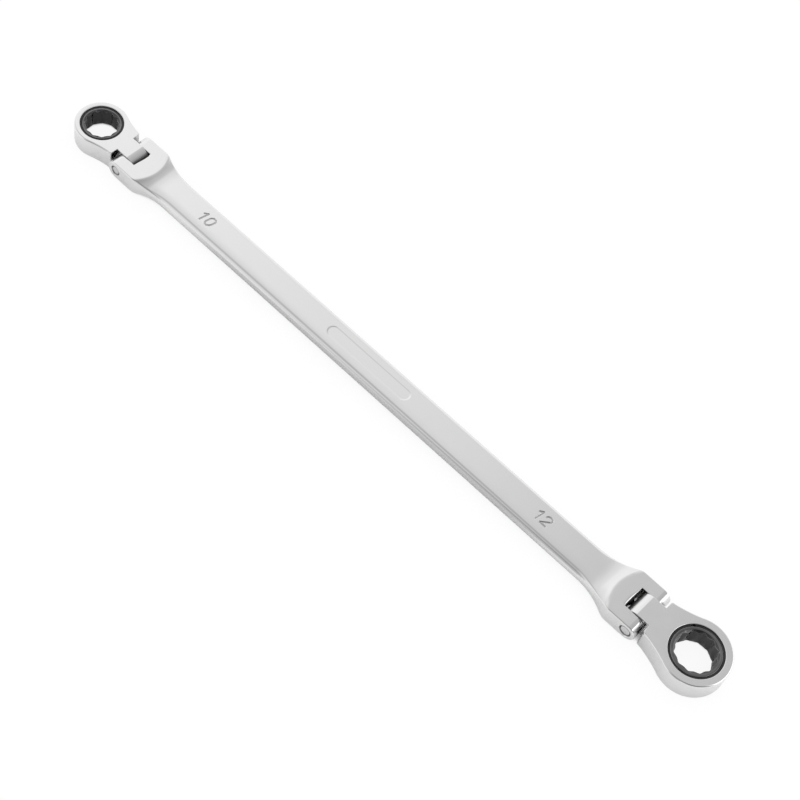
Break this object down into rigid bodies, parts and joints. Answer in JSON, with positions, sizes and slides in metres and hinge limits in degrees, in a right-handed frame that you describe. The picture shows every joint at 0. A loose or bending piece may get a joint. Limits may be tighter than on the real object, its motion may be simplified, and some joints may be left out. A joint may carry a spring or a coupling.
{
  "type": "ratchet wrench",
  "caption": "Long flat ratcheting ring wrench with a hinged 12-point ring head at each end, one larger than the other, held in forks on a crowned shank.",
  "frame": {"origin": "middle of the wrench's overall box, on its mid-plane, heads straight", "axes": "+X towards the 12 mm head, +Y along the hinge pins, +Z out of the upper flat faces"},
  "size_m": [0.28, 0.0228, 0.0082],
  "materials": {
    "chrome": "polished chrome plate over forged steel",
    "black_oxide": "black oxide with light oil",
    "tool_steel": "hardened, ground",
    "spring_steel": "drawn wire"
  },
  "bodies": {
    "shank": {"shank": "chrome", "hinge_pin_12": "chrome", "hinge_pin_10": "chrome", "plunger_spring_12": "spring_steel", "plunger_spring_10": "spring_steel"},
    "head_12": {"head_12": "chrome", "cover_washer_12": "black_oxide", "retaining_ring_12": "black_oxide", "pawl_spring_12": "spring_steel"},
    "gear_12": {"gear_12": "black_oxide"},
    "pawl_12": {"pawl_12": "tool_steel"},
    "friction_plunger_12": {"friction_plunger_12": "tool_steel"},
    "head_10": {"head_10": "chrome", "cover_washer_10": "black_oxide", "retaining_ring_10": "black_oxide", "pawl_spring_10": "spring_steel"},
    "gear_10": {"gear_10": "black_oxide"},
    "pawl_10": {"pawl_10": "tool_steel"},
    "friction_plunger_10": {"friction_plunger_10": "tool_steel"}
  },
  "joints": [
    {"name": "flex_12", "type": "hinge", "parent": "shank", "child": "head_12", "pos_m": [0.1091, 0, 0], "axis": [0, -1, 0], "range_deg": [-90, 90]},
    {"name": "gear_spin_12", "type": "hinge", "parent": "head_12", "child": "gear_12", "pos_m": [0.1286, 0, 0], "axis": [0, 0, 1], "continuous": true},
    {"name": "pawl_slide_12", "type": "slide", "parent": "head_12", "child": "pawl_12", "axis": [-1, 0, 0], "range_m": [0, 0.0006], "stiffness_N_per_m": 900, "springref_m": -0.001, "deforming": ["pawl_spring_12"]},
    {"name": "plunger_slide_12", "type": "slide", "parent": "shank", "child": "friction_plunger_12", "axis": [-1, 0, 0], "range_m": [0, 0.0005], "stiffness_N_per_m": 2000, "springref_m": -0.0012, "deforming": ["plunger_spring_12"]},
    {"name": "flex_10", "type": "hinge", "parent": "shank", "child": "head_10", "pos_m": [-0.1153, 0, 0], "axis": [0, 1, 0], "range_deg": [-90, 90]},
    {"name": "gear_spin_10", "type": "hinge", "parent": "head_10", "child": "gear_10", "pos_m": [-0.1309, 0, 0], "axis": [0, 0, 1], "continuous": true},
    {"name": "pawl_slide_10", "type": "slide", "parent": "head_10", "child": "pawl_10", "axis": [1, 0, 0], "range_m": [0, 0.0006], "stiffness_N_per_m": 900, "springref_m": -0.001, "deforming": ["pawl_spring_10"]},
    {"name": "plunger_slide_10", "type": "slide", "parent": "shank", "child": "friction_plunger_10", "axis": [1, 0, 0], "range_m": [0, 0.0005], "stiffness_N_per_m": 2000, "springref_m": -0.0012, "deforming": ["plunger_spring_10"]}
  ]
}
